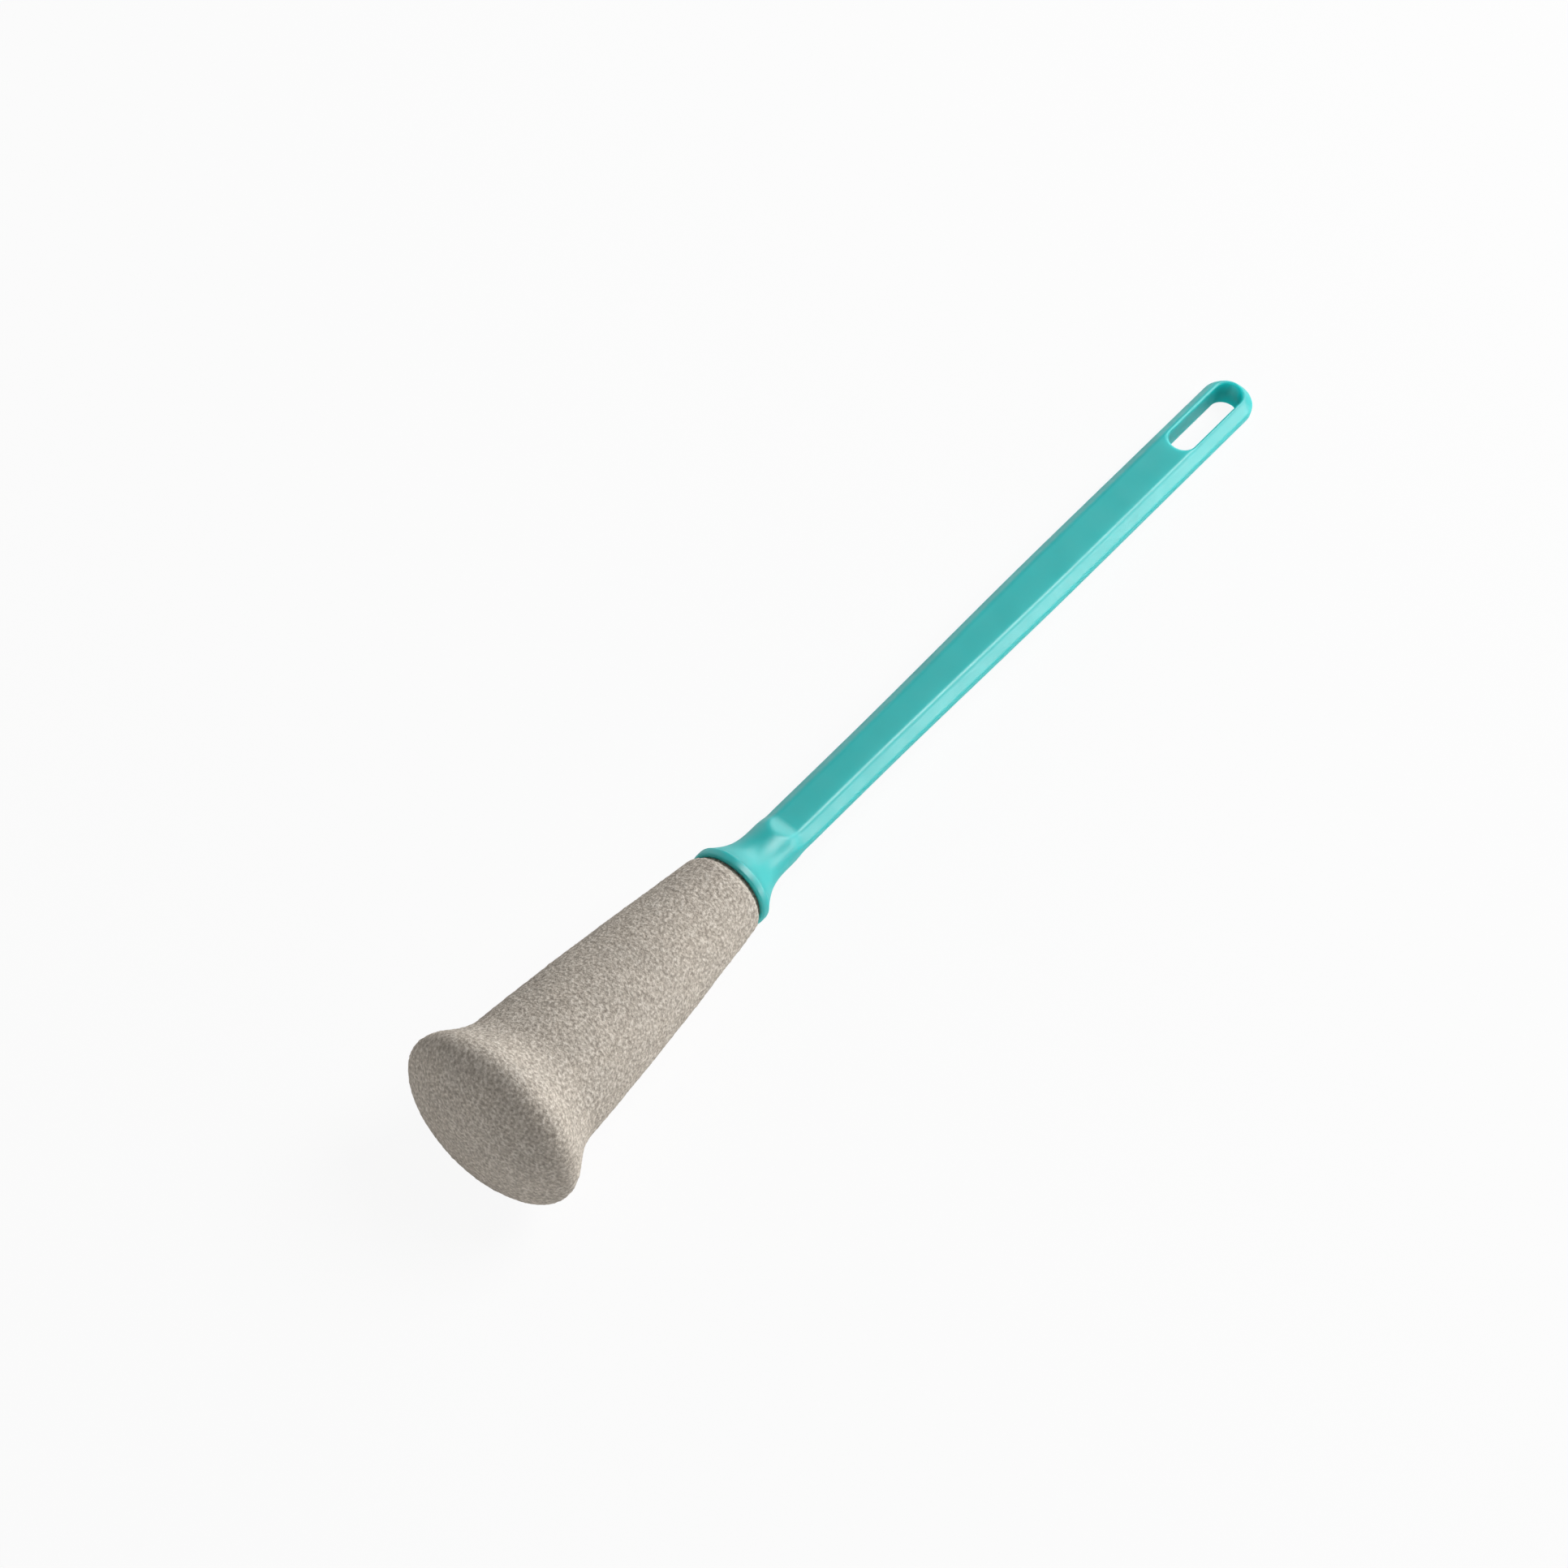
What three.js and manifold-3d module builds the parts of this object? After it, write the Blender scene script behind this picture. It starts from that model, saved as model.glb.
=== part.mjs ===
// Long-handled sponge brush: a moulded handle with a hanging slot, and a pull-off sponge refill on a core.
// Units are millimetres. Inside the tool group +X runs from the sponge's crown to the handle's tip.
// The finished part lies on Z = 0, with the sponge towards -X and the handle towards +X.
import * as THREE from 'three';
import { mergeVertices } from 'three/addons/utils/BufferGeometryUtils.js';
import Module from 'manifold-3d';

const wasm = await Module();
wasm.setup();

// Whole tool
const TOOL_LENGTH = 297.65;
const CLEARANCE = 0.3;

// Sponge: crown, bulge, waist and long cone
const BULGE_RADIUS = 23.6;
const CROWN_DEPTH = 8.3;
const SHOULDER_ROUND = 4;
const WAIST_RADIUS = 17.9;
const WAIST_TO_BULGE = 13.9;
const WAIST_ROUND = 7.4;
const CONE_BOW = 0.45;
const NARROW_RADIUS = 11;
const TUCK_LENGTH = 2.6;
const SPIGOT_LENGTH = 1.9;

// Flange and cup that the sponge's narrow end sits in
const LIP_DISTANCE = 90.4;
const RIM_RADIUS = 10.65;
const RIM_HEIGHT = 2.6;
const RIM_ROUND = 0.8;
const LIP_ROUND = 0.35;
const CUP_RADIUS = 9.5;
const CUP_DEPTH = 2.6;

// Flared neck behind the flange, and the straight ramps that cut it down to the flat bar
const NECK_RADIUS = 6.3;
const FLARE_LENGTH = 11.7;
const FLARE_LIP = 2.9;
const FLARE_THROAT = 6.5;
const NECK_LENGTH = 2.2;
const RAMP_LENGTH = 4.6;

// Flat bar with bevelled edges: shank, wider grip and hanging slot
const BAR_THICKNESS = 8.2;
const SIDE_HEIGHT = 1.4;
const BEVEL_WIDTH = 2.45;
const SHANK_WIDTH = 12.1;
const SHANK_LENGTH = 30;
const WIDENING_LENGTH = 85;
const GRIP_WIDTH = 13.6;
const SLOT_WIDTH = 7.2;
const SLOT_LENGTH = 27;
const SLOT_ROUND = 0.9;

// Hexagonal support rod, from the neck's socket into the sponge
const ROD_FLATS = 5;
const ROD_REACH = 64.4;
const ROD_ROOT = 17;
const ROD_CHAMFER = 0.6;

// Refill core: ribbed sleeve, end disc and seat ring
const SLEEVE_RADIUS = 4.4;
const SLEEVE_END_WALL = 2;
const RIB_COUNT = 6;
const RIB_PITCH = 9.5;
const RIB_WIDTH = 2.4;
const RIB_HEIGHT = 0.9;
const FIRST_RIB = 7;
const PEG_RADIUS = 3;
const DISC_RADIUS = 12;
const DISC_THICKNESS = 2.4;
const RING_THICKNESS = 1;

// Fineness of curves
const ROUND_STEPS = 48;
const CURVE_STEPS = 8;
const EDGE_STEPS = 4;
const TILT_STEPS = 40;
const STEEPEST_TILT = 0.3;
const WELD_DISTANCE = 1e-4;
const CUT_MARGIN = 0.02;

// Places along the tool's axis
const widest = CROWN_DEPTH;
const waist = widest + WAIST_TO_BULGE;
const lip = LIP_DISTANCE;
const cupFloor = lip + CUP_DEPTH;
const rimBack = lip + RIM_HEIGHT;
const neckStart = rimBack + FLARE_LENGTH;
const neckEnd = neckStart + NECK_LENGTH;
const rampEnd = neckEnd + RAMP_LENGTH;
const shankEnd = neckEnd + SHANK_LENGTH;
const gripStart = shankEnd + WIDENING_LENGTH;
const socketEnd = cupFloor + ROD_ROOT;
const rodTip = lip - ROD_REACH;
const rodEnd = socketEnd - CLEARANCE;
const sleeveShoulder = rodTip - CLEARANCE - SLEEVE_END_WALL;
const sleeveEnd = cupFloor - CLEARANCE;
const discBack = sleeveShoulder - CLEARANCE;
const discFront = discBack - DISC_THICKNESS;
const ringFront = sleeveEnd - RING_THICKNESS;
const spongeEnd = ringFront - CLEARANCE;
const tuckStart = spongeEnd - SPIGOT_LENGTH - TUCK_LENGTH;

// A closed geometry as a solid that can be joined and cut
function toSolid(geometry) {
  geometry.deleteAttribute('normal');
  geometry.deleteAttribute('uv');
  const welded = mergeVertices(geometry, WELD_DISTANCE);
  const corners = welded.index.array;
  const triVerts = [];
  for (let i = 0; i < corners.length; i += 3) {
    const [a, b, c] = corners.subarray(i, i + 3);
    if (a !== b && b !== c && c !== a) {
      triVerts.push(a, b, c);
    }
  }
  const vertProperties = new Float32Array(welded.attributes.position.array);
  const mesh = new wasm.Mesh({ numProp: 3, vertProperties, triVerts: Uint32Array.from(triVerts) });
  return new wasm.Manifold(mesh);
}

function toGeometry(solid) {
  const mesh = solid.getMesh();
  const geometry = new THREE.BufferGeometry();
  geometry.setAttribute('position', new THREE.BufferAttribute(mesh.vertProperties, 3));
  geometry.setIndex(new THREE.BufferAttribute(mesh.triVerts, 1));
  geometry.computeVertexNormals();
  return geometry;
}

// A path of (distance along the axis, radius) turned round the tool's axis
function revolve(path) {
  const profile = path.getPoints(CURVE_STEPS).map((p) => new THREE.Vector2(Math.max(p.y, 0), p.x));
  return new THREE.LatheGeometry(profile, ROUND_STEPS).rotateZ(-Math.PI / 2);
}

// A hexagonal bar along the axis, with its flats facing up and down
function hexagon(flats, start, end, chamfer) {
  const corner = flats / Math.sqrt(3);
  const outline = new THREE.Shape();
  for (let i = 0; i < 6; i += 1) {
    const turn = (i * Math.PI) / 3;
    outline[i === 0 ? 'moveTo' : 'lineTo'](corner * Math.cos(turn), corner * Math.sin(turn));
  }
  outline.closePath();
  const bar = new THREE.ExtrudeGeometry(outline, {
    depth: end - start - 2 * chamfer,
    bevelEnabled: chamfer > 0,
    bevelThickness: chamfer,
    bevelSize: chamfer,
    bevelOffset: -chamfer,
    bevelSegments: 1,
  });
  return bar.rotateX(Math.PI / 2).rotateZ(Math.PI / 2).translate(start + chamfer, 0, 0);
}

// Outer skin of the sponge, from its crown to the end that tucks into the cup
function spongeSkin(spigotRadius) {
  const slope = (WAIST_RADIUS - NARROW_RADIUS) / (tuckStart - waist);
  const coneMiddle = (waist + tuckStart) / 2;
  const coneRadius = (WAIST_RADIUS + NARROW_RADIUS) / 2 + 2 * CONE_BOW;
  const skin = new THREE.Path();
  skin.moveTo(0, 0);
  skin.absellipse(widest, 0, CROWN_DEPTH, BULGE_RADIUS, Math.PI, Math.PI / 2, true);
  skin.bezierCurveTo(
    widest + SHOULDER_ROUND, BULGE_RADIUS,
    waist - WAIST_ROUND, WAIST_RADIUS + slope * WAIST_ROUND,
    waist, WAIST_RADIUS,
  );
  skin.quadraticCurveTo(coneMiddle, coneRadius, tuckStart, NARROW_RADIUS);
  const tuckDrop = NARROW_RADIUS - spigotRadius;
  skin.absellipse(tuckStart, spigotRadius, TUCK_LENGTH, tuckDrop, Math.PI / 2, 0, true);
  return skin;
}

// Foam head, hollow for the core, whose bore opens at the narrow end
function spongeHead() {
  const spigotRadius = CUP_RADIUS - CLEARANCE;
  const boreRadius = SLEEVE_RADIUS + RIB_HEIGHT + CLEARANCE;
  const pocketRadius = DISC_RADIUS + CLEARANCE;
  const path = spongeSkin(spigotRadius);
  path.lineTo(spongeEnd, spigotRadius);
  path.lineTo(spongeEnd, boreRadius);
  path.lineTo(sleeveShoulder, boreRadius);
  path.lineTo(sleeveShoulder, pocketRadius);
  path.lineTo(discFront - CLEARANCE, pocketRadius);
  path.lineTo(discFront - CLEARANCE, 0);
  return revolve(path);
}

// Flange, cup, flare and round neck as one turned solid, with a ramp cut across its top and its underside
function neckSolid() {
  const rimCentre = RIM_RADIUS - RIM_ROUND;
  const leave = Math.PI / 6;
  const flareTop = rimCentre + RIM_ROUND * Math.sin(leave);
  const flareStart = rimBack - RIM_ROUND + RIM_ROUND * Math.cos(leave);
  const path = new THREE.Path();
  path.moveTo(cupFloor, 0);
  path.lineTo(cupFloor, CUP_RADIUS);
  path.lineTo(lip, CUP_RADIUS);
  path.lineTo(lip, RIM_RADIUS - LIP_ROUND);
  path.absarc(lip + LIP_ROUND, RIM_RADIUS - LIP_ROUND, LIP_ROUND, Math.PI, Math.PI / 2, true);
  path.absarc(rimBack - RIM_ROUND, rimCentre, RIM_ROUND, Math.PI / 2, leave, true);
  path.bezierCurveTo(
    flareStart + FLARE_LIP * Math.cos(leave), flareTop - FLARE_LIP * Math.sin(leave),
    neckStart - FLARE_THROAT, NECK_RADIUS,
    neckStart, NECK_RADIUS,
  );
  path.lineTo(neckEnd, NECK_RADIUS);
  path.lineTo(rampEnd, SHANK_WIDTH / 2);
  path.lineTo(rampEnd, 0);
  const fall = Math.atan2(NECK_RADIUS - BAR_THICKNESS / 2, RAMP_LENGTH);
  const along = -Math.sin(fall);
  const inward = Math.cos(fall);
  const reachOut = along * neckEnd - inward * NECK_RADIUS;
  const turned = toSolid(revolve(path));
  return turned.trimByPlane([along, 0, -inward], reachOut).trimByPlane([along, 0, inward], reachOut);
}

// Flat bar seen from above: shank, S-shaped widening, grip and round tip
function barSolid() {
  const shank = SHANK_WIDTH / 2;
  const grip = GRIP_WIDTH / 2;
  const tipCentre = TOOL_LENGTH - grip;
  const middle = (shankEnd + gripStart) / 2;
  const outline = new THREE.Shape();
  outline.moveTo(neckStart, -shank);
  outline.lineTo(shankEnd, -shank);
  outline.bezierCurveTo(middle, -shank, middle, -grip, gripStart, -grip);
  outline.lineTo(tipCentre, -grip);
  outline.absarc(tipCentre, 0, grip, -Math.PI / 2, Math.PI / 2, false);
  outline.lineTo(gripStart, grip);
  outline.bezierCurveTo(middle, grip, middle, shank, shankEnd, shank);
  outline.lineTo(neckStart, shank);
  outline.closePath();
  const bar = new THREE.ExtrudeGeometry(outline, {
    depth: SIDE_HEIGHT,
    curveSegments: CURVE_STEPS,
    bevelThickness: (BAR_THICKNESS - SIDE_HEIGHT) / 2,
    bevelSize: BEVEL_WIDTH,
    bevelOffset: -BEVEL_WIDTH,
    bevelSegments: 1,
  });
  return toSolid(bar.translate(0, 0, -SIDE_HEIGHT / 2));
}

// Cutter for the hanging slot: it spreads at both faces, so the slot's edges come out rounded
function slotCutter() {
  const wide = SLOT_WIDTH / 2 + SLOT_ROUND;
  const rail = (GRIP_WIDTH - SLOT_WIDTH) / 2;
  const farCentre = TOOL_LENGTH - rail - SLOT_WIDTH / 2;
  const nearCentre = farCentre - SLOT_LENGTH + SLOT_WIDTH;
  const outline = new THREE.Shape();
  outline.moveTo(nearCentre, -wide);
  outline.lineTo(farCentre, -wide);
  outline.absarc(farCentre, 0, wide, -Math.PI / 2, Math.PI / 2, false);
  outline.lineTo(nearCentre, wide);
  outline.absarc(nearCentre, 0, wide, Math.PI / 2, (3 * Math.PI) / 2, false);
  const depth = BAR_THICKNESS - 2 * SLOT_ROUND;
  const cutter = new THREE.ExtrudeGeometry(outline, {
    depth,
    curveSegments: CURVE_STEPS,
    bevelThickness: SLOT_ROUND + CUT_MARGIN,
    bevelSize: -SLOT_ROUND,
    bevelSegments: EDGE_STEPS,
  });
  return toSolid(cutter.translate(0, 0, -depth / 2));
}

// One moulding: flange, neck, bar, hanging slot and the rod's blind socket
function handle() {
  const socket = hexagon(ROD_FLATS + 2 * CLEARANCE, lip, socketEnd, 0);
  return toGeometry(neckSolid().add(barSolid()).subtract(slotCutter()).subtract(toSolid(socket)));
}

function supportRod() {
  return hexagon(ROD_FLATS, rodTip, rodEnd, ROD_CHAMFER);
}

// Tube with saw-tooth ribs for the foam, a blind hexagonal bore, and a peg for the end disc
function coreSleeve() {
  const path = new THREE.Path();
  path.moveTo(discFront, 0);
  path.lineTo(discFront, PEG_RADIUS);
  path.lineTo(sleeveShoulder, PEG_RADIUS);
  path.lineTo(sleeveShoulder, SLEEVE_RADIUS);
  for (let i = 0; i < RIB_COUNT; i += 1) {
    const start = sleeveShoulder + FIRST_RIB + i * RIB_PITCH;
    path.lineTo(start, SLEEVE_RADIUS);
    path.lineTo(start + RIB_WIDTH, SLEEVE_RADIUS + RIB_HEIGHT);
    path.lineTo(start + RIB_WIDTH, SLEEVE_RADIUS);
  }
  path.lineTo(sleeveEnd, SLEEVE_RADIUS);
  path.lineTo(sleeveEnd, 0);
  const bore = hexagon(ROD_FLATS + 2 * CLEARANCE, rodTip - CLEARANCE, cupFloor, 0);
  return toGeometry(toSolid(revolve(path)).subtract(toSolid(bore)));
}

// Round-edged stop on the sleeve's peg, which backs the wide end of the foam
function endDisc() {
  const bore = PEG_RADIUS + CLEARANCE;
  const round = DISC_THICKNESS / 2;
  const path = new THREE.Path();
  path.moveTo(discFront, bore);
  path.lineTo(discFront, DISC_RADIUS - round);
  path.absarc(discFront + round, DISC_RADIUS - round, round, Math.PI, 0, true);
  path.lineTo(discBack, bore);
  path.lineTo(discFront, bore);
  return revolve(path);
}

// Washer at the foam's narrow end, which seats on the cup's floor
function seatRing() {
  const bore = SLEEVE_RADIUS + CLEARANCE;
  const outside = CUP_RADIUS - CLEARANCE;
  const path = new THREE.Path();
  path.moveTo(ringFront, bore);
  path.lineTo(ringFront, outside);
  path.lineTo(sleeveEnd, outside);
  path.lineTo(sleeveEnd, bore);
  path.lineTo(ringFront, bore);
  return revolve(path);
}

// How far below the axis a point of the tool reaches when the handle's end is tilted down
function reach(along, below, tilt) {
  return along * Math.sin(tilt) + below * Math.cos(tilt);
}

// Tilt at which the bulge and the handle's tip lie on one level surface
function restTilt() {
  const skin = spongeSkin(CUP_RADIUS - CLEARANCE).getPoints(CURVE_STEPS);
  const tipAlong = TOOL_LENGTH - BEVEL_WIDTH;
  let level = 0;
  let steep = STEEPEST_TILT;
  for (let i = 0; i < TILT_STEPS; i += 1) {
    const tilt = (level + steep) / 2;
    const bulgeReach = Math.max(...skin.map((p) => reach(p.x, p.y, tilt)));
    const tipReach = reach(tipAlong, BAR_THICKNESS / 2, tilt);
    if (bulgeReach > tipReach) {
      level = tilt;
    } else {
      steep = tilt;
    }
  }
  return level;
}

const moulded = { color: 0x3fb8b4, roughness: 0.3, metalness: 0 };
const foam = { color: 0xb9b0a3, roughness: 0.95, metalness: 0 };
const steel = { color: 0xb9bcc0, roughness: 0.35, metalness: 1 };
const natural = { color: 0xe4e2d8, roughness: 0.5, metalness: 0 };

const tool = new THREE.Group();

function place(name, geometry, finish) {
  const mesh = new THREE.Mesh(geometry, new THREE.MeshStandardMaterial(finish));
  mesh.name = name;
  tool.add(mesh);
}

place('handle', handle(), moulded);
place('support_rod', supportRod(), steel);
place('core_sleeve', coreSleeve(), natural);
place('end_disc', endDisc(), natural);
place('seat_ring', seatRing(), natural);
place('sponge_head', spongeHead(), foam);

// Lay the tool down: the bulge and the tip on Z = 0, with the footprint centred on the origin
tool.rotation.y = restTilt();
tool.updateMatrixWorld(true);
const box = new THREE.Box3().setFromObject(tool, true);
const middle = box.getCenter(new THREE.Vector3());
tool.position.set(-middle.x, -middle.y, -box.min.z);

const part = new THREE.Group();
part.name = 'sponge_brush';
part.add(tool);

export default part;
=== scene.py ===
import math

import bmesh
import bpy
import numpy as np
from mathutils import Matrix, Vector, noise


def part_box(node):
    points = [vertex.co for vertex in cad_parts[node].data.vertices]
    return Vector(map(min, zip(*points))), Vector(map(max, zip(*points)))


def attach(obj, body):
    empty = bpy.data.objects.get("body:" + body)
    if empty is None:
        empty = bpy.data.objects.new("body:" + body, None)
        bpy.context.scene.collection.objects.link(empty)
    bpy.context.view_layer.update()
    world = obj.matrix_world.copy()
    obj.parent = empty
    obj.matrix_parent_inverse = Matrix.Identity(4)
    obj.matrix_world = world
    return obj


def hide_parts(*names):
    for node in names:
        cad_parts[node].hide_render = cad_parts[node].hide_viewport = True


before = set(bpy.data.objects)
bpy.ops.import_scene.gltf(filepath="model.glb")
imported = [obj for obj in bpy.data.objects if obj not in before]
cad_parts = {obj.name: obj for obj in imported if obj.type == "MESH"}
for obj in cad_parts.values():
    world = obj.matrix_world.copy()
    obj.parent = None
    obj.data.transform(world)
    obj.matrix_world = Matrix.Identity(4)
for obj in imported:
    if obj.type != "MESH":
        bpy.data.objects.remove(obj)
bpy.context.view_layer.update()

# Tool sizes in millimetres: x runs from the crown to the handle's tip, z out of the bar's flat face
MM = 0.001
TOOL_LENGTH = 297.65
CLEARANCE = 0.3

# Sponge
BULGE_RADIUS = 23.6
CROWN_DEPTH = 8.3
SHOULDER_ROUND = 4
WAIST_RADIUS = 17.9
WAIST_TO_BULGE = 13.9
WAIST_ROUND = 7.4
CONE_BOW = 0.45
NARROW_RADIUS = 11
TUCK_LENGTH = 2.6
SPIGOT_LENGTH = 1.9

# Flange, cup, flare and neck
LIP_DISTANCE = 90.4
RIM_RADIUS = 10.65
RIM_HEIGHT = 2.6
RIM_ROUND = 0.8
RIM_LEAVE = 30
LIP_ROUND = 0.5
CUP_RADIUS = 9.5
CUP_DEPTH = 2.6
CUP_ROUND = 0.35
NECK_RADIUS = 6.3
FLARE_LENGTH = 11.7
FLARE_LIP = 2.9
FLARE_THROAT = 6.5
NECK_LENGTH = 2.2
RAMP_LENGTH = 4.6
RAMP_BLEND = 0.7
NECK_BLEND = 0.6

# Flat bar and its hanging slot
BAR_THICKNESS = 8.2
SIDE_HEIGHT = 1.4
BEVEL_WIDTH = 2.45
BEVEL_SPAN = 3.2
BEVEL_BLEND = 0.8
BEVEL_FOOT = 0.4
SHANK_WIDTH = 12.1
SHANK_LENGTH = 30
WIDENING_LENGTH = 85
GRIP_WIDTH = 13.6
SLOT_WIDTH = 7.2
SLOT_LENGTH = 27
SLOT_ROUND = 0.9
SLOT_APPROACH = 10
NEAR_TURN = 130
CREST_POWER = 4

# Rod and refill core
ROD_FLATS = 5
ROD_CORNER = 2.8
ROD_REACH = 64.4
ROD_ROOT = 17
ROD_CHAMFER = 0.6
SLEEVE_RADIUS = 4.4
SLEEVE_END_WALL = 2
SLEEVE_ROUND = 0.25
RIB_COUNT = 6
RIB_PITCH = 9.5
RIB_WIDTH = 2.4
RIB_HEIGHT = 0.9
FIRST_RIB = 7
PEG_RADIUS = 3
DISC_RADIUS = 12
DISC_THICKNESS = 2.4
RING_THICKNESS = 1
RING_ROUND = 0.3

# Places along the tool
waist = CROWN_DEPTH + WAIST_TO_BULGE
cup_floor = LIP_DISTANCE + CUP_DEPTH
rim_back = LIP_DISTANCE + RIM_HEIGHT
neck_start = rim_back + FLARE_LENGTH
neck_end = neck_start + NECK_LENGTH
ramp_end = neck_end + RAMP_LENGTH + RAMP_BLEND
shank_end = neck_end + SHANK_LENGTH
grip_start = shank_end + WIDENING_LENGTH
tip_centre = TOOL_LENGTH - GRIP_WIDTH / 2
slot_near = tip_centre - SLOT_LENGTH + SLOT_WIDTH
socket_end = cup_floor + ROD_ROOT
rod_tip = LIP_DISTANCE - ROD_REACH
rod_end = socket_end - CLEARANCE
sleeve_shoulder = rod_tip - CLEARANCE - SLEEVE_END_WALL
sleeve_end = cup_floor - CLEARANCE
disc_back = sleeve_shoulder - CLEARANCE
disc_front = disc_back - DISC_THICKNESS
ring_front = sleeve_end - RING_THICKNESS
sponge_end = ring_front - CLEARANCE
tuck_start = sponge_end - SPIGOT_LENGTH - TUCK_LENGTH
spigot_radius = CUP_RADIUS - CLEARANCE
bevel_depth = (BAR_THICKNESS - SIDE_HEIGHT) / 2 - BEVEL_FOOT

# Fineness of the meshes
WELD = 1e-3
SHARP_ANGLE = 40
TOP_STEPS = 20
SIDE_STEPS = 6
EDGE_STEPS = 16
RAMP_STEPS = 30
BAR_STEPS = 60
TIP_STEPS = 28
RAIL_STEPS = 16
APPROACH_STEPS = 6
NEAR_STEPS = TOP_STEPS + 2 * EDGE_STEPS
LAYER_STEPS = 28
TURNED_STEPS = 96
LIP_STEPS = 2
RING_STEPS = 3
WALL_STEPS = 4
ROUND_STEPS = 6
DISC_EDGE_STEPS = 16
FLARE_STEPS = 28
FOAM_SPACING = 0.42
CROWN_CELLS = 104
BORE_STEPS = 20
POCKET_STEPS = 8
CROWN_SAMPLES = 200
WAIST_SAMPLES = 120
CONE_SAMPLES = 200
TUCK_SAMPLES = 40
SPIGOT_SAMPLES = 10


# The tool's own axes, found from two round pieces that share its axis
def node_middle(name):
    low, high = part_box(name)
    return (Vector(low) + Vector(high)) / 2


def tool_to_row():
    ring_middle = node_middle("seat_ring")
    along = (ring_middle - node_middle("end_disc")).normalized()
    out = Vector((-along.z, 0, along.x))
    left = out.cross(along)
    origin = ring_middle - along * (ring_front + RING_THICKNESS / 2) * MM
    axes = Matrix((along, left, out)).transposed().to_4x4()
    return Matrix.Translation(origin) @ axes @ Matrix.Scale(MM, 4)


TO_ROW = tool_to_row()


# Curves: each gives its points without its first one
def line(start, end, steps=1):
    part = np.linspace(0, 1, steps + 1)[1:, None]
    return (1 - part) * np.array(start, float) + part * np.array(end, float)


def arc(centre, radii, first, last, steps):
    turn = np.radians(np.linspace(first, last, steps + 1)[1:])
    return np.array(centre, float) + np.array(radii, float) * np.column_stack([np.cos(turn), np.sin(turn)])


def bezier(start, first, second, end, steps):
    t = np.linspace(0, 1, steps + 1)[1:, None]
    weights = ((1 - t) ** 3, 3 * t * (1 - t) ** 2, 3 * t * t * (1 - t), t ** 3)
    return sum(w * np.array(p, float) for w, p in zip(weights, (start, first, second, end)))


def smooth_step(x, start, end):
    t = np.clip((x - start) / (end - start), 0, 1)
    return t * t * (3 - 2 * t)


def smooth_max(a, b, blend):
    overlap = np.clip(blend - np.abs(a - b), 0, None) / blend
    return np.maximum(a, b) + overlap ** 2 * blend / 4


def smooth_min(a, b, blend):
    return -smooth_max(-a, -b, blend)


# Rings of points round the tool's axis
def ring(x, radii, turns):
    radii = np.broadcast_to(radii, turns.shape)
    return np.column_stack([np.full(turns.shape, x), radii * np.cos(turns), radii * np.sin(turns)])


def hexagon_radii(flats, turns):
    return flats / 2 / np.cos(np.mod(turns, math.pi / 3) - math.pi / 6)


def turned(profile, turns):
    return np.array([ring(x, r, turns) for x, r in profile])


def even_turns(steps):
    return np.linspace(0, 2 * math.pi, steps + 1)


# One closed mesh, welded from grids of points in tool millimetres, that rides on a body
def solid(name, grids, body, node, material):
    build = bmesh.new()
    for grid in grids:
        rows = [[build.verts.new(point) for point in row] for row in grid]
        for low, high in zip(rows, rows[1:]):
            for i in range(len(low) - 1):
                build.faces.new((low[i], low[i + 1], high[i + 1], high[i]))
    bmesh.ops.remove_doubles(build, verts=build.verts, dist=WELD)
    bmesh.ops.recalc_face_normals(build, faces=build.faces)
    build.transform(TO_ROW)
    mesh = bpy.data.meshes.new(name)
    build.to_mesh(mesh)
    build.free()
    mesh.materials.append(material)
    mesh.shade_smooth()
    mesh.set_sharp_from_angle(angle=math.radians(SHARP_ANGLE))
    piece = bpy.data.objects.new(name, mesh)
    bpy.context.collection.objects.link(piece)
    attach(piece, body)
    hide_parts(node)
    return piece


# How far a rounded edge has fallen below its flat face, at a distance in from the edge
def round_drop(distance, radius):
    return radius - np.sqrt(radius ** 2 - np.clip(radius - distance, 0, radius) ** 2)


# The same for the bar's long edges: a flat bevel, eased into the face above and the wall below
def bevel_drop(distance):
    slope = smooth_max(0, bevel_depth * (1 - distance / BEVEL_WIDTH), BEVEL_BLEND)
    return slope + round_drop(distance, BEVEL_FOOT)


# Outline of the bar's section, from the lower right over the top and back
def bar_section(half_width, half_thickness=BAR_THICKNESS / 2):
    inset = BEVEL_SPAN * (1 - np.cos(np.linspace(0, math.pi / 2, EDGE_STEPS + 1)))
    left = np.column_stack([half_width - inset, half_thickness - bevel_drop(inset)])
    flat_end, wall_end = left[-1], left[0]
    right = left * (-1, 1)
    return np.vstack([
        [right[0] * (1, -1)],
        line(right[0] * (1, -1), right[0], SIDE_STEPS),
        right[1:],
        line(right[-1], flat_end, TOP_STEPS),
        left[-2::-1],
        line(wall_end, wall_end * (1, -1), SIDE_STEPS),
        left[1:] * (1, -1),
        line(flat_end * (1, -1), right[-1] * (1, -1), TOP_STEPS),
        right[-2::-1] * (1, -1),
    ])


def bar_half_width(x):
    grow = smooth_step(x, shank_end, grip_start)
    return (SHANK_WIDTH + grow * (GRIP_WIDTH - SHANK_WIDTH)) / 2


# Distance from the axis to a bar's surface, in each direction
def bar_reach(half_width, half_thickness, turns):
    outline = bar_section(half_width, half_thickness)
    facing = np.arctan2(outline[:, 1], outline[:, 0])
    return np.interp(turns, facing, np.hypot(*outline.T), period=2 * math.pi)


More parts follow.
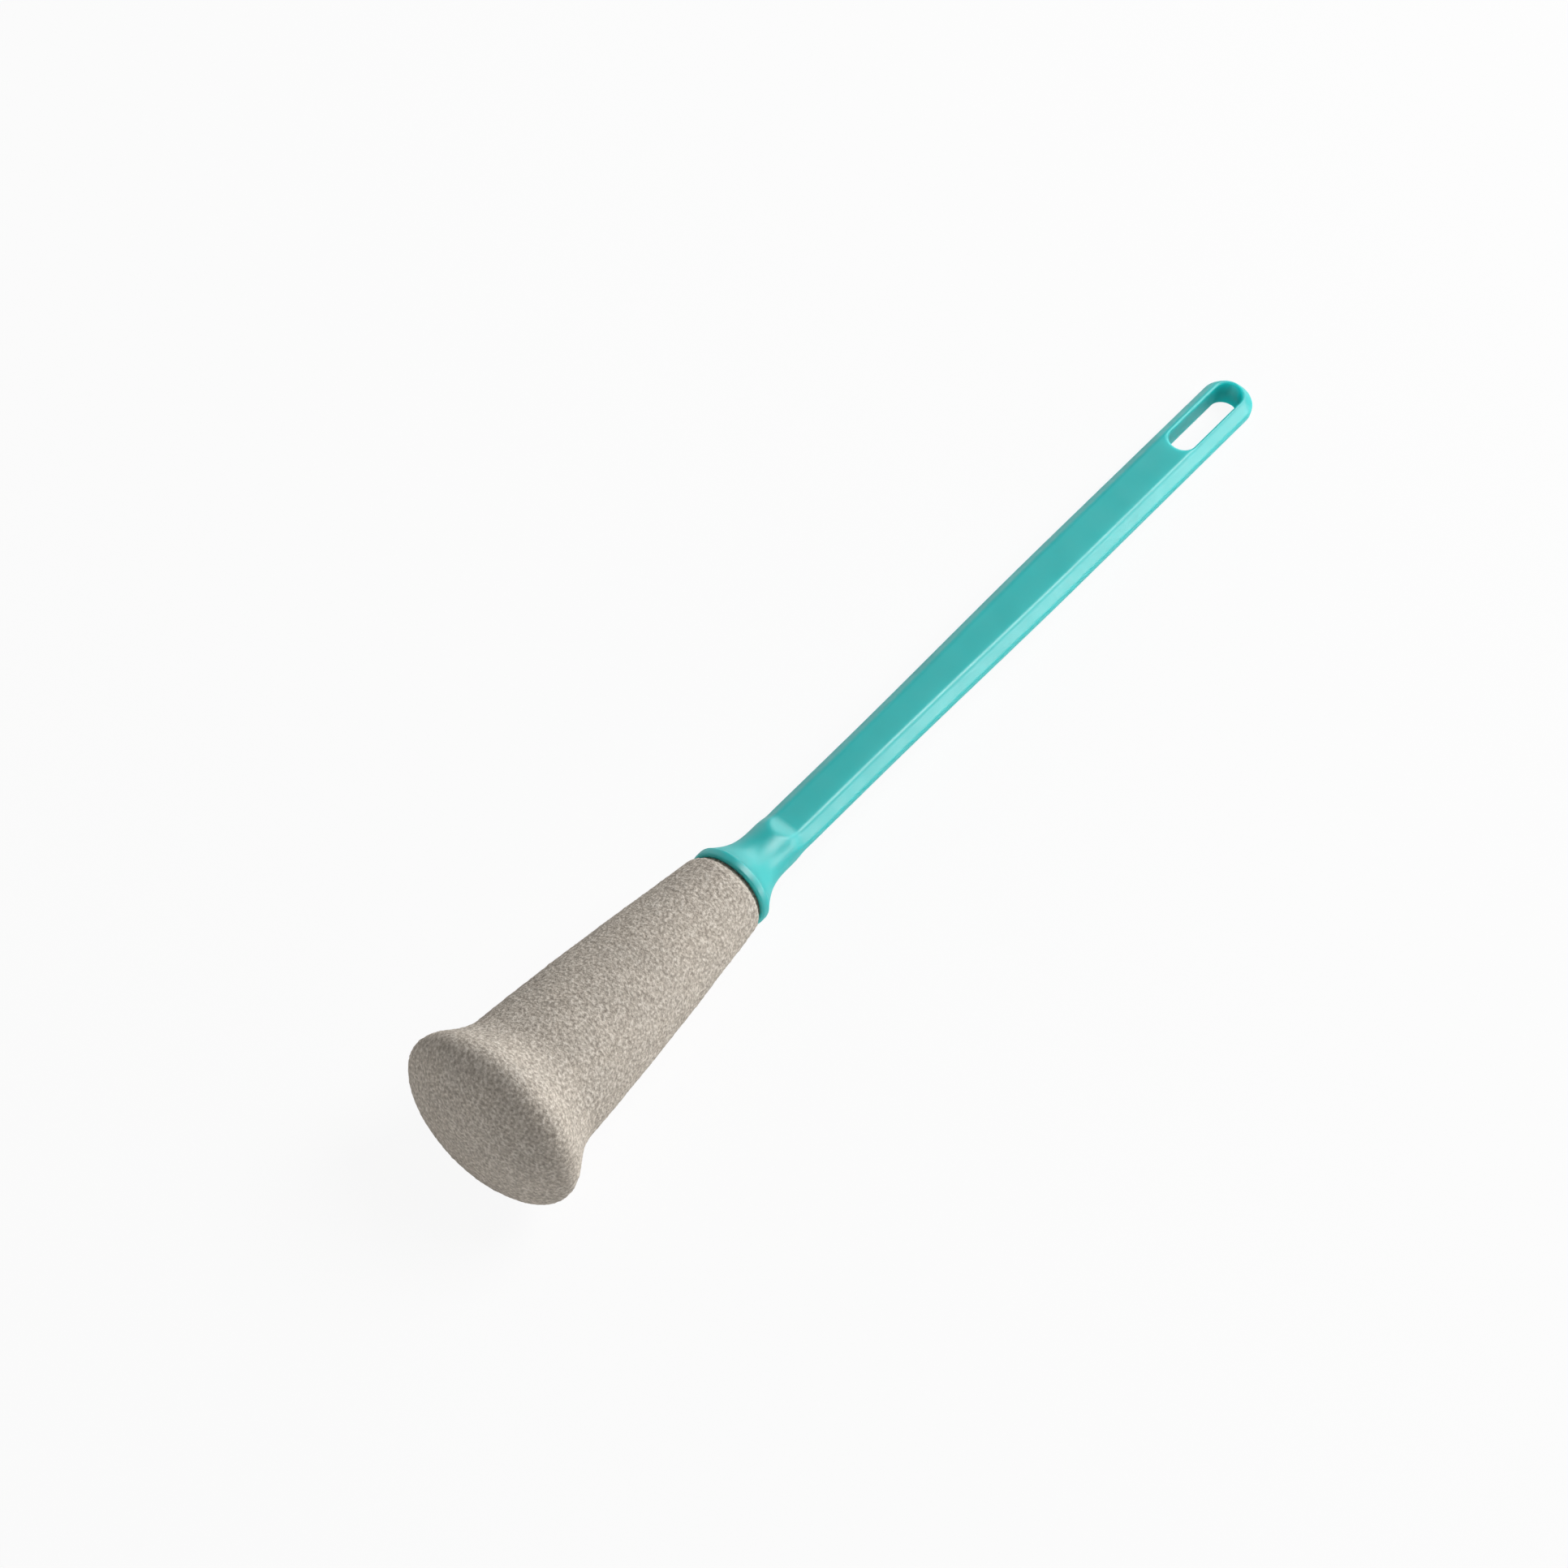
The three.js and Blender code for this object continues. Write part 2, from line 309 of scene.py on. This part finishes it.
# The round neck cut down to the bar by straight ramps across its flat faces, with its sides drawn in
def ramp_row(x, turns):
    half = BAR_THICKNESS / 2
    fall = (NECK_RADIUS - half) / RAMP_LENGTH
    height = smooth_max(half, NECK_RADIUS - (x - neck_end) * fall, RAMP_BLEND)
    narrow = smooth_step(x, neck_start, ramp_end)
    width = NECK_RADIUS + narrow * (SHANK_WIDTH / 2 - NECK_RADIUS)
    return ring(x, smooth_min(bar_reach(width, height, turns), NECK_RADIUS, NECK_BLEND), turns)


# Socket, cup, flange, flare and neck, then the run-out into the bar and the bar up to the slot
def handle_loft():
    section = bar_section(SHANK_WIDTH / 2)
    turns = np.arctan2(section[:, 1], section[:, 0])
    socket = hexagon_radii(ROD_FLATS + 2 * CLEARANCE, turns)
    rows = [ring(socket_end, 0, turns), ring(socket_end, socket, turns), ring(cup_floor, socket, turns)]
    rim_centre = RIM_RADIUS - RIM_ROUND
    lip_back = LIP_DISTANCE + LIP_ROUND
    cup_bend = CUP_RADIUS - CUP_ROUND
    leave = math.radians(RIM_LEAVE)
    flare_top = np.array([rim_back - RIM_ROUND + RIM_ROUND * math.cos(leave),
                          rim_centre + RIM_ROUND * math.sin(leave)])
    flare_pull = FLARE_LIP * np.array([math.cos(leave), -math.sin(leave)])
    profile = np.vstack([
        line((cup_floor, ROD_FLATS), (cup_floor, cup_bend), WALL_STEPS),
        arc((cup_floor - CUP_ROUND, cup_bend), (CUP_ROUND, CUP_ROUND), 0, 90, WALL_STEPS),
        line((cup_floor - CUP_ROUND, CUP_RADIUS), (LIP_DISTANCE, CUP_RADIUS), WALL_STEPS),
        line((LIP_DISTANCE, CUP_RADIUS), (LIP_DISTANCE, RIM_RADIUS - LIP_ROUND), LIP_STEPS),
        arc((lip_back, RIM_RADIUS - LIP_ROUND), (LIP_ROUND, LIP_ROUND), 180, 90, ROUND_STEPS),
        line((lip_back, RIM_RADIUS), (rim_back - RIM_ROUND, RIM_RADIUS), WALL_STEPS),
        arc((rim_back - RIM_ROUND, rim_centre), (RIM_ROUND, RIM_ROUND), 90, RIM_LEAVE, ROUND_STEPS),
        bezier(flare_top, flare_top + flare_pull, (neck_start - FLARE_THROAT, NECK_RADIUS),
               (neck_start, NECK_RADIUS), FLARE_STEPS),
    ])
    rows += [ring(x, r, turns) for x, r in profile]
    rows += [ramp_row(x, turns) for x in np.linspace(neck_start, ramp_end, RAMP_STEPS + 1)[1:]]
    for x in np.linspace(ramp_end, slot_near - SLOT_APPROACH, BAR_STEPS + 1)[1:]:
        outline = bar_section(bar_half_width(x))
        rows.append(np.column_stack([np.full(len(outline), x), outline]))
    return np.array(rows)


# Slot's outline, from the bar's left side round the tip and back by the near end
def slot_loop():
    half_width = SLOT_WIDTH / 2
    around = (half_width, half_width)
    far = (tip_centre, 0)
    near = (slot_near, 0)
    return np.vstack([
        arc(near, around, NEAR_TURN, NEAR_TURN, 1),
        arc(near, around, NEAR_TURN, 90, APPROACH_STEPS),
        line((slot_near, half_width), (tip_centre, half_width), RAIL_STEPS),
        arc(far, around, 90, -90, TIP_STEPS),
        line((tip_centre, -half_width), (slot_near, -half_width), RAIL_STEPS),
        arc(near, around, -90, -NEAR_TURN, APPROACH_STEPS),
        arc(near, around, 360 - NEAR_TURN, NEAR_TURN, NEAR_STEPS),
    ])


# Bar's own outline round the tip, in step with the slot's, closed by the bar's section before the slot
def tip_loop():
    start = slot_near - SLOT_APPROACH
    half_width = GRIP_WIDTH / 2
    rail = np.vstack([
        [(start, half_width)],
        line((start, half_width), (slot_near, half_width), APPROACH_STEPS),
        line((slot_near, half_width), (tip_centre, half_width), RAIL_STEPS),
    ])
    bend = arc((tip_centre, 0), (half_width, half_width), 90, -90, TIP_STEPS)
    back = rail[-2::-1] * (1, -1)
    across = bar_section(half_width)[SIDE_STEPS + 1:SIDE_STEPS + NEAR_STEPS + 1, 0]
    return np.vstack([rail, bend, back, np.column_stack([np.full(NEAR_STEPS, start), across])])


# Half the bar's thickness at each place round the slot: a bevel and a round that meet in a soft crest
def tip_height(place):
    x, y = place.T
    inside = GRIP_WIDTH / 2 - np.hypot(np.maximum(x - tip_centre, 0), y)
    outside = np.hypot(x - np.clip(x, slot_near, tip_centre), y) - SLOT_WIDTH / 2
    outer = bevel_drop(inside)
    inner = round_drop(outside, SLOT_ROUND)
    return BAR_THICKNESS / 2 - (outer ** CREST_POWER + inner ** CREST_POWER) ** (1 / CREST_POWER)


# Bar round the hanging slot: outer wall, both faces with their edges, and the slot's wall
def handle_tip():
    outline = tip_loop()
    mouth = slot_loop()
    grids = []
    for loop in (outline[:-NEAR_STEPS], mouth):
        height = tip_height(loop)
        levels = np.linspace(1, -1, SIDE_STEPS + 1)
        grids.append(np.array([np.column_stack([loop, level * height]) for level in levels]))
    shares = (1 - np.cos(np.linspace(0, math.pi, LAYER_STEPS + 1))) / 2
    layers = [outline + share * (mouth - outline) for share in shares]
    for side in (1, -1):
        grids.append(np.array([np.column_stack([layer, side * tip_height(layer)]) for layer in layers]))
    return grids


# Sponge: crown on a grid with no pole, then rings down the cone, the tuck, the end and the bore
def sponge_skin():
    slope = (WAIST_RADIUS - NARROW_RADIUS) / (tuck_start - waist)
    cone_middle = np.array([(waist + tuck_start) / 2, (WAIST_RADIUS + NARROW_RADIUS) / 2 + 2 * CONE_BOW])
    cone_start = np.array([waist, WAIST_RADIUS])
    cone_end = np.array([tuck_start, NARROW_RADIUS])
    dome = arc((CROWN_DEPTH, 0), (CROWN_DEPTH, BULGE_RADIUS), 180, 90, CROWN_SAMPLES)
    crown = np.vstack([[(0, 0)], dome])
    flank = np.vstack([
        bezier(crown[-1], (CROWN_DEPTH + SHOULDER_ROUND, BULGE_RADIUS),
               (waist - WAIST_ROUND, WAIST_RADIUS + slope * WAIST_ROUND), cone_start, WAIST_SAMPLES),
        bezier(cone_start, cone_start + (cone_middle - cone_start) * 2 / 3,
               cone_end + (cone_middle - cone_end) * 2 / 3, cone_end, CONE_SAMPLES),
        arc((tuck_start, spigot_radius), (TUCK_LENGTH, NARROW_RADIUS - spigot_radius), 90, 0, TUCK_SAMPLES),
        line((sponge_end - SPIGOT_LENGTH, spigot_radius), (sponge_end, spigot_radius), SPIGOT_SAMPLES),
    ])
    return crown, np.vstack([crown[-1:], flank])


def along_path(path, distance):
    run = np.concatenate([[0], np.cumsum(np.hypot(*np.diff(path, axis=0).T))])
    return np.interp(distance * run[-1], run, path[:, 0]), np.interp(distance * run[-1], run, path[:, 1])


# A square of cells bent into a disc: signed radius and turn of each corner
def disc_cells(count):
    side = np.linspace(-1, 1, count + 1)
    u, v = np.meshgrid(side, side, indexing="ij")
    wide = np.abs(u) > np.abs(v)
    radius = np.where(wide, u, v)
    safe = np.where(radius == 0, 1, radius)
    turn = np.where(wide, math.pi / 4 * v / safe, math.pi / 2 - math.pi / 4 * u / safe)
    return radius, turn


def sponge_grids():
    crown, flank = sponge_skin()
    radius, turn = disc_cells(CROWN_CELLS)
    x, r = along_path(crown, np.abs(radius))
    r = np.sign(radius) * r
    cap = np.stack([x, r * np.cos(turn), r * np.sin(turn)], axis=-1)
    turns = math.pi / 4 + even_turns(4 * CROWN_CELLS)
    length = np.hypot(*np.diff(flank, axis=0).T).sum()
    x, r = along_path(flank, np.linspace(0, 1, round(length / FOAM_SPACING) + 1))
    skin = turned(np.column_stack([x, r]), turns)
    bore = SLEEVE_RADIUS + RIB_HEIGHT + CLEARANCE
    pocket = DISC_RADIUS + CLEARANCE
    pocket_front = disc_front - CLEARANCE
    hollow = np.vstack([
        [(sponge_end, spigot_radius)],
        line((sponge_end, spigot_radius), (sponge_end, bore), ROUND_STEPS),
        line((sponge_end, bore), (sleeve_shoulder, bore), BORE_STEPS),
        line((sleeve_shoulder, bore), (sleeve_shoulder, pocket), ROUND_STEPS),
        line((sleeve_shoulder, pocket), (pocket_front, pocket), WALL_STEPS),
        line((pocket_front, pocket), (pocket_front, 0), POCKET_STEPS),
    ])
    return [cap, skin, turned(hollow, turns)]


# Open-cell surface: fine grains and pits, and the slight unevenness of cut foam
GRAIN_SIZE = 0.85
GRAIN_HEIGHT = 0.16
PIT_SHARE = 0.5
PIT_FINENESS = 2.3
UNEVEN_SIZE = 14
UNEVEN_HEIGHT = 0.14


def roughen(piece):
    mesh = piece.data
    count = len(mesh.vertices)
    points = np.empty(3 * count)
    normals = np.empty(3 * count)
    mesh.vertices.foreach_get("co", points)
    mesh.vertex_normals.foreach_get("vector", normals)
    points = points.reshape(-1, 3)
    normals = normals.reshape(-1, 3)
    lift = np.empty(count)
    for i, point in enumerate(points / MM):
        place = Vector(point)
        grain = noise.noise(place / GRAIN_SIZE) + PIT_SHARE * noise.noise(place * PIT_FINENESS / GRAIN_SIZE)
        lift[i] = GRAIN_HEIGHT * grain + UNEVEN_HEIGHT * noise.noise(place / UNEVEN_SIZE)
    points = points + normals * (lift * MM)[:, None]
    mesh.vertices.foreach_set("co", points.ravel())
    mesh.update()


# Hexagonal rod with turned ends and slightly eased corners
def rod_grid():
    turns = even_turns(TURNED_STEPS)
    corners = np.minimum(hexagon_radii(ROD_FLATS, turns), ROD_CORNER)
    depths = np.linspace(0, ROD_CHAMFER, ROUND_STEPS)
    cone = [np.minimum(corners, ROD_CORNER - ROD_CHAMFER + depth) for depth in depths]
    front = [ring(rod_tip + depth, radii, turns) for depth, radii in zip(depths, cone)]
    back = [ring(rod_end - depth, radii, turns) for depth, radii in zip(depths, cone)]
    return np.array([ring(rod_tip, 0, turns), *front, *back[::-1], ring(rod_end, 0, turns)])


# Ribbed sleeve with its peg and blind hexagonal bore
def sleeve_grid():
    turns = even_turns(TURNED_STEPS)
    outline = [
        (disc_front, 0),
        (disc_front, PEG_RADIUS - SLEEVE_ROUND),
        (disc_front + SLEEVE_ROUND, PEG_RADIUS),
        (sleeve_shoulder, PEG_RADIUS),
        (sleeve_shoulder, SLEEVE_RADIUS),
    ]
    for i in range(RIB_COUNT):
        start = sleeve_shoulder + FIRST_RIB + i * RIB_PITCH
        outline += [
            (start, SLEEVE_RADIUS),
            (start + RIB_WIDTH - SLEEVE_ROUND, SLEEVE_RADIUS + RIB_HEIGHT),
            (start + RIB_WIDTH, SLEEVE_RADIUS + RIB_HEIGHT - SLEEVE_ROUND),
            (start + RIB_WIDTH, SLEEVE_RADIUS),
        ]
    bend = (sleeve_end - SLEEVE_ROUND, SLEEVE_RADIUS - SLEEVE_ROUND)
    outline.append((sleeve_end - SLEEVE_ROUND, SLEEVE_RADIUS))
    outline += [*arc(bend, (SLEEVE_ROUND, SLEEVE_ROUND), 90, 0, WALL_STEPS)]
    bore = hexagon_radii(ROD_FLATS + 2 * CLEARANCE, turns)
    rows = list(turned(outline, turns))
    rows += [ring(sleeve_end, bore + SLEEVE_ROUND, turns), ring(sleeve_end - SLEEVE_ROUND, bore, turns)]
    rows += [ring(rod_tip - CLEARANCE, bore, turns), ring(rod_tip - CLEARANCE, 0, turns)]
    return np.array(rows)


# Disc and ring that hold the foam's two ends on the sleeve
def disc_grid():
    bore = PEG_RADIUS + CLEARANCE
    half = DISC_THICKNESS / 2
    outline = np.vstack([
        [(disc_front, bore)],
        line((disc_front, bore), (disc_front, DISC_RADIUS - half)),
        arc((disc_front + half, DISC_RADIUS - half), (half, half), 180, 0, DISC_EDGE_STEPS),
        line((disc_back, DISC_RADIUS - half), (disc_back, bore)),
        line((disc_back, bore), (disc_front, bore)),
    ])
    return turned(outline, even_turns(TURNED_STEPS))


def ring_grid():
    bore = SLEEVE_RADIUS + CLEARANCE
    bend = spigot_radius - RING_ROUND
    outline = np.vstack([
        [(ring_front, bore)],
        line((ring_front, bore), (ring_front, bend)),
        arc((ring_front + RING_ROUND, bend), (RING_ROUND, RING_ROUND), 180, 90, WALL_STEPS),
        arc((sleeve_end - RING_ROUND, bend), (RING_ROUND, RING_ROUND), 90, 0, WALL_STEPS),
        line((sleeve_end, bend), (sleeve_end, bore), RING_STEPS),
        line((sleeve_end, bore), (ring_front, bore)),
    ])
    return turned(outline, even_turns(TURNED_STEPS))


# Materials: the parts of a noise's range that ramps and spreads use, and the colour sockets of the mix node
RAMP_LOW = 0.3
RAMP_HIGH = 0.7
SPREAD_LOW = 0.25
SPREAD_HIGH = 0.75
MIX_FIRST = 6
MIX_SECOND = 7
MIX_RESULT = 2

# Colours of each look, from its darkest to its palest
TEAL = ((0.006, 0.575, 0.565), (0.01, 0.615, 0.605))
FOAM = ((0.42, 0.37, 0.317), (0.615, 0.553, 0.479), (0.87, 0.805, 0.72))
FOAM_PATCHES = ((0.93, 0.93, 0.93), (1.0, 0.99, 0.98))
STEEL = ((0.50, 0.51, 0.53), (0.66, 0.67, 0.69))
NATURAL = ((0.72, 0.70, 0.63), (0.80, 0.78, 0.72))
FLOOR_WHITE = ((0.93, 0.93, 0.93), (0.95, 0.95, 0.95))


class Look:
    """A Principled material whose colour, roughness and bump come from noise in the piece's own space."""

    def __init__(self, name):
        self.material = bpy.data.materials.new(name)
        self.material.use_nodes = True
        self.tree = self.material.node_tree
        self.shader = self.tree.nodes["Principled BSDF"]
        self.place = self.tree.nodes.new("ShaderNodeTexCoord").outputs["Object"]

    def link(self, output, socket):
        self.tree.links.new(output, socket)

    def feed(self, name, output):
        """Drives one of the shader's sockets."""
        self.link(output, self.shader.inputs[name])

    def fix(self, name, value):
        """Sets one of the shader's sockets."""
        self.shader.inputs[name].default_value = value

    def noise(self, size, detail, stretch=(1, 1, 1)):
        """Noise with features of about the given size in millimetres."""
        scale = self.tree.nodes.new("ShaderNodeMapping")
        scale.inputs["Scale"].default_value = stretch
        texture = self.tree.nodes.new("ShaderNodeTexNoise")
        texture.inputs["Scale"].default_value = 1 / (size * MM)
        texture.inputs["Detail"].default_value = detail
        self.link(self.place, scale.inputs["Vector"])
        self.link(scale.outputs["Vector"], texture.inputs["Vector"])
        return texture.outputs["Fac"]

    def ramp(self, fac, *colours):
        """The colours, evenly spaced over the middle of a noise's range."""
        ramp = self.tree.nodes.new("ShaderNodeValToRGB")
        elements = ramp.color_ramp.elements
        while len(elements) < len(colours):
            elements.new(RAMP_HIGH)
        positions = np.linspace(RAMP_LOW, RAMP_HIGH, len(colours))
        for element, position, colour in zip(elements, positions, colours):
            element.position = position
            element.color = (*colour, 1)
        self.link(fac, ramp.inputs["Fac"])
        return ramp.outputs["Color"]

    def spread(self, fac, low, high):
        """The middle half of a noise's range mapped to low..high."""
        node = self.tree.nodes.new("ShaderNodeMapRange")
        node.inputs["From Min"].default_value = SPREAD_LOW
        node.inputs["From Max"].default_value = SPREAD_HIGH
        node.inputs["To Min"].default_value = low
        node.inputs["To Max"].default_value = high
        self.link(fac, node.inputs["Value"])
        return node.outputs["Result"]

    def multiply(self, first, second):
        node = self.tree.nodes.new("ShaderNodeMix")
        node.data_type = "RGBA"
        node.blend_type = "MULTIPLY"
        node.inputs["Factor"].default_value = 1
        self.link(first, node.inputs[MIX_FIRST])
        self.link(second, node.inputs[MIX_SECOND])
        return node.outputs[MIX_RESULT]

    def bump(self, height, depth, before=None):
        """Bump of a height map whose full range is depth millimetres."""
        node = self.tree.nodes.new("ShaderNodeBump")
        node.inputs["Strength"].default_value = 1
        node.inputs["Distance"].default_value = depth * MM
        self.link(height, node.inputs["Height"])
        if before is not None:
            self.link(before, node.inputs["Normal"])
        return node.outputs["Normal"]


def plastic_look():
    look = Look("teal_plastic")
    look.feed("Base Color", look.ramp(look.noise(size=18, detail=2), *TEAL))
    look.feed("Roughness", look.spread(look.noise(size=6, detail=3), low=0.34, high=0.42))
    look.fix("IOR", 1.5)
    look.fix("Specular IOR Level", 1.0)
    look.fix("Subsurface Weight", 1.0)
    look.fix("Subsurface Radius", (0.1, 1.0, 1.0))
    look.fix("Subsurface Scale", 6 * MM)
    wave = look.bump(look.noise(size=9, detail=1), depth=0.01)
    look.feed("Normal", look.bump(look.noise(size=0.5, detail=2), depth=0.002, before=wave))
    return look.material


def foam_look():
    look = Look("open_cell_foam")
    speckle = look.ramp(look.noise(size=0.75, detail=2), *FOAM)
    patch = look.ramp(look.noise(size=9, detail=3), *FOAM_PATCHES)
    look.feed("Base Color", look.multiply(speckle, patch))
    look.feed("Roughness", look.spread(look.noise(size=0.6, detail=2), low=0.85, high=1.0))
    look.fix("Specular IOR Level", 0.15)
    grain = look.bump(look.noise(size=0.75, detail=2), depth=0.35)
    look.feed("Normal", look.bump(look.noise(size=0.3, detail=2), depth=0.1, before=grain))
    return look.material


def steel_look():
    look = Look("drawn_steel")
    streak = look.noise(size=1.2, detail=3, stretch=(0.03, 1, 1))
    look.feed("Base Color", look.ramp(streak, *STEEL))
    look.feed("Roughness", look.spread(streak, low=0.22, high=0.42))
    look.feed("Normal", look.bump(streak, depth=0.01))
    look.fix("Metallic", 1.0)
    return look.material


def core_look():
    look = Look("natural_plastic")
    look.feed("Base Color", look.ramp(look.noise(size=5, detail=3), *NATURAL))
    look.feed("Roughness", look.spread(look.noise(size=2, detail=3), low=0.38, high=0.55))
    look.feed("Normal", look.bump(look.noise(size=0.4, detail=2), depth=0.01))
    return look.material


core_plastic = core_look()
handle_grids = [handle_loft(), *handle_tip()]
solid("handle_moulding", handle_grids, "handle_body", "handle", plastic_look())
solid("hexagonal_rod", [rod_grid()], "handle_body", "support_rod", steel_look())
solid("ribbed_sleeve", [sleeve_grid()], "refill", "core_sleeve", core_plastic)
solid("foam_end_disc", [disc_grid()], "refill", "end_disc", core_plastic)
solid("foam_seat_ring", [ring_grid()], "refill", "seat_ring", core_plastic)
sponge = solid("foam_sponge", sponge_grids(), "refill", "sponge_head", foam_look())
roughen(sponge)

# Floor: white, with a glow for the camera that adds no light to the object and hardly shows in mirrors
FLOOR_SIZE = 6
GLOW_SHARE = 0.92
MIRRORED_SHARE = 0.05


def by_ray(tree, **shares):
    """A share for each named kind of ray, and none for the rest."""
    path = tree.nodes.new("ShaderNodeLightPath")
    total = None
    for ray, share in shares.items():
        node = tree.nodes.new("ShaderNodeMath")
        node.operation = "MULTIPLY_ADD"
        node.inputs[1].default_value = share
        node.inputs[2].default_value = 0
        tree.links.new(path.outputs[f"Is {ray} Ray"], node.inputs[0])
        if total is not None:
            tree.links.new(total, node.inputs[2])
        total = node.outputs[0]
    return total


def mix_shaders(tree, first, second):
    """Mixes two shaders into the output and returns the socket for the second one's share."""
    mix = tree.nodes.new("ShaderNodeMixShader")
    output = next(n for n in tree.nodes if n.type in ("OUTPUT_MATERIAL", "OUTPUT_WORLD"))
    tree.links.new(first, mix.inputs[1])
    tree.links.new(second, mix.inputs[2])
    tree.links.new(mix.outputs[0], output.inputs["Surface"])
    return mix.inputs["Fac"]


def floor_look():
    look = Look("studio_floor")
    look.feed("Base Color", look.ramp(look.noise(size=40, detail=2), *FLOOR_WHITE))
    look.fix("Roughness", 1.0)
    glow = look.tree.nodes.new("ShaderNodeEmission")
    share = by_ray(look.tree, Camera=GLOW_SHARE, Glossy=MIRRORED_SHARE, Transmission=MIRRORED_SHARE)
    look.link(share, mix_shaders(look.tree, look.shader.outputs[0], glow.outputs[0]))
    return look.material


floor_mesh = bpy.data.meshes.new("floor")
side = FLOOR_SIZE / 2
corners = [(-side, -side, 0), (side, -side, 0), (side, side, 0), (-side, side, 0)]
floor_mesh.from_pydata(corners, [], [(0, 1, 2, 3)])
floor_mesh.materials.append(floor_look())
floor = bpy.data.objects.new("floor", floor_mesh)
bpy.context.collection.objects.link(floor)

# World: soft fill on the object, white behind it
FILL_LEVEL = 0.02
SKY_MIRRORED = 0.2
world = bpy.data.worlds.new("studio")
bpy.context.scene.world = world
world.use_nodes = True
fill = world.node_tree.nodes["Background"]
fill.inputs["Color"].default_value = (1, 1, 1, 1)
fill.inputs["Strength"].default_value = FILL_LEVEL
white = world.node_tree.nodes.new("ShaderNodeBackground")
white.inputs["Color"].default_value = (1, 1, 1, 1)
world.node_tree.links.new(
    by_ray(world.node_tree, Camera=1, Glossy=SKY_MIRRORED, Transmission=SKY_MIRRORED),
    mix_shaders(world.node_tree, fill.outputs[0], white.outputs[0]),
)

# Camera: the photograph's viewing angle, as bearing, height, roll and distance from a point by the neck
VIEW_TARGET = Vector((-0.02422, 0.01033, 0.012))
VIEW_AZIMUTH = -56.55
VIEW_ELEVATION = 57.88
VIEW_ROLL = 6.56
VIEW_DISTANCE = 0.9935
VIEW_LENS = 97.0
NEAR_CLIP = 0.01


def add_camera():
    azimuth = math.radians(VIEW_AZIMUTH)
    elevation = math.radians(VIEW_ELEVATION)
    back = Vector((math.sin(azimuth) * math.cos(elevation), -math.cos(azimuth) * math.cos(elevation),
                   math.sin(elevation)))
    level = Vector((math.cos(azimuth), math.sin(azimuth), 0))
    turn = Matrix((level, back.cross(level), back)).transposed()
    data = bpy.data.cameras.new("photograph")
    data.lens = VIEW_LENS
    data.clip_start = NEAR_CLIP
    camera = bpy.data.objects.new("photograph", data)
    roll = Matrix.Rotation(math.radians(VIEW_ROLL), 3, "Z")
    camera.matrix_world = Matrix.Translation(VIEW_TARGET + VIEW_DISTANCE * back) @ (turn @ roll).to_4x4()
    bpy.context.collection.objects.link(camera)
    bpy.context.scene.camera = camera


add_camera()


# Lamps, placed by bearing from +X and height: a level is the share of white on a surface that faces it
def lamp(name, bearing, height, distance, width, tall, level):
    data = bpy.data.lights.new(name, "AREA")
    data.shape = "RECTANGLE"
    data.size = width
    data.size_y = tall
    data.energy = level * (math.pi * distance) ** 2
    light = bpy.data.objects.new(name, data)
    around = math.radians(bearing)
    upward = math.radians(height)
    level_reach = math.cos(upward)
    direction = Vector((math.cos(around) * level_reach, math.sin(around) * level_reach, math.sin(upward)))
    turn = direction.to_track_quat("Z", "Y").to_matrix().to_4x4()
    light.matrix_world = Matrix.Translation(direction * distance) @ turn
    bpy.context.collection.objects.link(light)


lamp("side_wall", bearing=-57, height=6.5, distance=1.5, width=1.1, tall=0.32, level=0.30)
lamp("back_right_wall", bearing=-30, height=18, distance=1.5, width=0.9, tall=0.6, level=0.13)
lamp("back_wall", bearing=9, height=13, distance=1.5, width=1.1, tall=0.7, level=0.25)
lamp("left_wall", bearing=85, height=20, distance=1.5, width=1.4, tall=1.1, level=0.16)
lamp("front_wall", bearing=180, height=3.5, distance=1.5, width=1.6, tall=0.18, level=0.24)
lamp("overhead", bearing=-30, height=52, distance=1.6, width=0.9, tall=0.9, level=0.65)

bpy.context.scene.view_settings.view_transform = "Standard"
